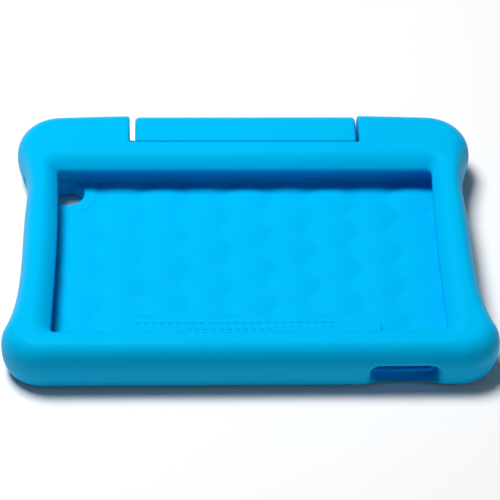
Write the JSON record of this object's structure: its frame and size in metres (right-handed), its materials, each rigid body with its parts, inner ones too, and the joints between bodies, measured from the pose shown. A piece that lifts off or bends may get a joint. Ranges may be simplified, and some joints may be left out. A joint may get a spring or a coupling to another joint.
{
  "type": "foam tablet case with folding stand",
  "caption": "Chunky moulded foam case that a small tablet snaps into, with a U-shaped stand hinged on its back whose grip is also the carrying handle.",
  "frame": {"origin": "middle of the flat back face that the case rests on", "axes": "+X along the long side with the camera hole at -X, +Y towards the handle edge, +Z out of the back towards the screen side"},
  "size_m": [0.219, 0.1599, 0.026],
  "materials": {
    "foam": "matt closed-cell EVA foam",
    "stand_foam": "matt closed-cell EVA foam",
    "hinge_nylon": "fine-textured moulded nylon",
    "spring_steel": "rolled, lightly brushed",
    "fastener_steel": "zinc plated",
    "washer_nylon": "natural nylon"
  },
  "bodies": {
    "case": {"foam_body": "foam", "left_anchor_plate": "hinge_nylon", "right_anchor_plate": "hinge_nylon", "left_hinge_housing": "hinge_nylon", "right_hinge_housing": "hinge_nylon", "housing_screws": "fastener_steel", "left_pivot_pin": "fastener_steel", "right_pivot_pin": "fastener_steel", "left_lock_nut": "fastener_steel", "right_lock_nut": "fastener_steel", "left_outer_washer": "washer_nylon", "right_outer_washer": "washer_nylon", "left_inner_washer": "washer_nylon", "right_inner_washer": "washer_nylon", "left_spring_washer": "spring_steel", "right_spring_washer": "spring_steel"},
    "stand": {"stand_foam": "stand_foam", "crossbar_stiffener": "spring_steel", "stiffener_rivets": "fastener_steel", "left_arm_bar": "spring_steel", "right_arm_bar": "spring_steel"}
  },
  "joints": [
    {"name": "stand_fold", "type": "hinge", "parent": "case", "child": "stand", "pos_m": [0.00085, -0.004, 0.00285], "axis": [-1, 0, 0], "range_deg": [0, 110]}
  ]
}
